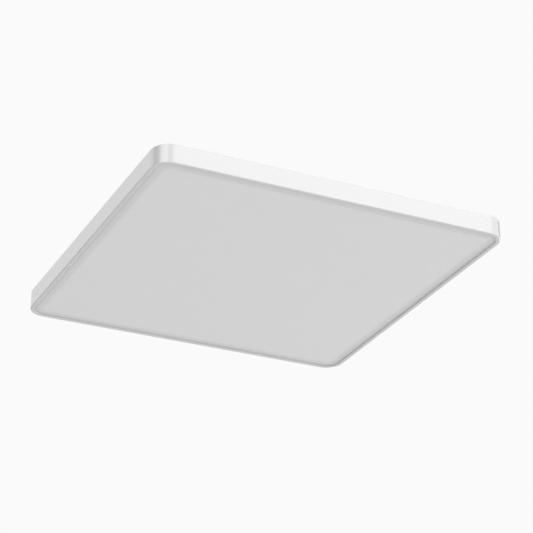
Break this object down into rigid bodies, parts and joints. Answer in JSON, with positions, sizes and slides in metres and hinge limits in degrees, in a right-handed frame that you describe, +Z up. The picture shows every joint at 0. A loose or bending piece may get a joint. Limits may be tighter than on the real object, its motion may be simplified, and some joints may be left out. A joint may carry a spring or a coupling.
{
  "type": "ceiling light",
  "caption": "Slim square ceiling light: rounded white frame round a recessed opal panel, snapped up over a pressed steel chassis with lensed light strips, driver and push-in terminals.",
  "frame": {"origin": "middle of the four screw slots, on the ceiling plane that the chassis ribs press against", "axes": "+Z up into the ceiling; X and Y along the sides, with the screw slots along X; the light hangs below z = 0"},
  "size_m": [0.42, 0.42, 0.023],
  "materials": {
    "frame_white": "matt white powder coat on aluminium",
    "diffuser_opal": "opal acrylic, satin",
    "chassis_white": "white powder coat on steel sheet",
    "spring_steel": "bright rolled spring steel",
    "tape_grey": "thermal adhesive tape",
    "connector_white": "moulded nylon",
    "lead_red": "flexible insulation",
    "lead_black": "flexible insulation",
    "lead_brown": "flexible insulation",
    "lead_blue": "flexible insulation",
    "lead_earth": "flexible insulation, green with yellow",
    "grommet_rubber": "black moulded rubber",
    "screw_zinc": "zinc plated",
    "terminal_white": "moulded nylon",
    "contact_copper": "tinned copper alloy",
    "contact_tinned": "tinned brass",
    "driver_grey": "moulded flame-resistant plastic",
    "driver_white": "moulded flame-resistant plastic",
    "board_green": "glass-fibre circuit board",
    "board_white": "white mask on aluminium core",
    "ferrite_dark": "ferrite",
    "capacitor_sleeve": "sleeved can",
    "chip_phosphor": "phosphor in a white package",
    "lens_clear": "clear acrylic",
    "button_brown": "moulded plastic",
    "button_blue": "moulded plastic",
    "button_green": "moulded plastic"
  },
  "bodies": {
    "chassis": {"chassis": "chassis_white", "board_tapes": "tape_grey", "board_connectors": "connector_white", "feed_connector": "connector_white", "link_lead_positive": "lead_red", "link_lead_negative": "lead_black", "cable_grommet": "grommet_rubber", "terminal_block": "terminal_white", "terminal_contacts": "contact_copper", "driver_base": "driver_grey", "driver_board": "board_green", "driver_transformer": "ferrite_dark", "driver_capacitors": "capacitor_sleeve", "driver_choke": "ferrite_dark", "driver_cover": "driver_white", "live_lead": "lead_brown", "neutral_lead": "lead_blue", "earth_lead": "lead_earth", "earth_tag": "contact_tinned", "fixing_screws": "screw_zinc", "output_lead_positive": "lead_red", "output_lead_negative": "lead_black", "spring_catch_front": "spring_steel", "spring_catch_rear": "spring_steel", "spring_catch_left": "spring_steel", "spring_catch_right": "spring_steel", "led_board_1": "board_white", "led_chips_1": "chip_phosphor", "led_lens_1": "lens_clear", "led_board_2": "board_white", "led_chips_2": "chip_phosphor", "led_lens_2": "lens_clear", "led_board_3": "board_white", "led_chips_3": "chip_phosphor", "led_lens_3": "lens_clear", "led_board_4": "board_white", "led_chips_4": "chip_phosphor", "led_lens_4": "lens_clear", "led_board_5": "board_white", "led_chips_5": "chip_phosphor", "led_lens_5": "lens_clear", "led_board_6": "board_white", "led_chips_6": "chip_phosphor", "led_lens_6": "lens_clear"},
    "cover": {"frame": "frame_white", "diffuser": "diffuser_opal", "diffuser_clips": "spring_steel"},
    "button_live": {"terminal_button_live": "button_brown"},
    "button_neutral": {"terminal_button_neutral": "button_blue"},
    "button_earth": {"terminal_button_earth": "button_green"}
  },
  "joints": [
    {"name": "cover_release", "type": "slide", "parent": "chassis", "child": "cover", "axis": [0, 0, -1], "range_m": [0, 0.06], "deforming": ["spring_catch_front", "spring_catch_rear", "spring_catch_left", "spring_catch_right"]},
    {"name": "live_button_press", "type": "slide", "parent": "chassis", "child": "button_live", "axis": [0, 0, 1], "range_m": [0, 0.0015], "stiffness_N_per_m": 600, "springref_m": -0.001},
    {"name": "neutral_button_press", "type": "slide", "parent": "chassis", "child": "button_neutral", "axis": [0, 0, 1], "range_m": [0, 0.0015], "stiffness_N_per_m": 600, "springref_m": -0.001},
    {"name": "earth_button_press", "type": "slide", "parent": "chassis", "child": "button_earth", "axis": [0, 0, 1], "range_m": [0, 0.0015], "stiffness_N_per_m": 600, "springref_m": -0.001}
  ]
}
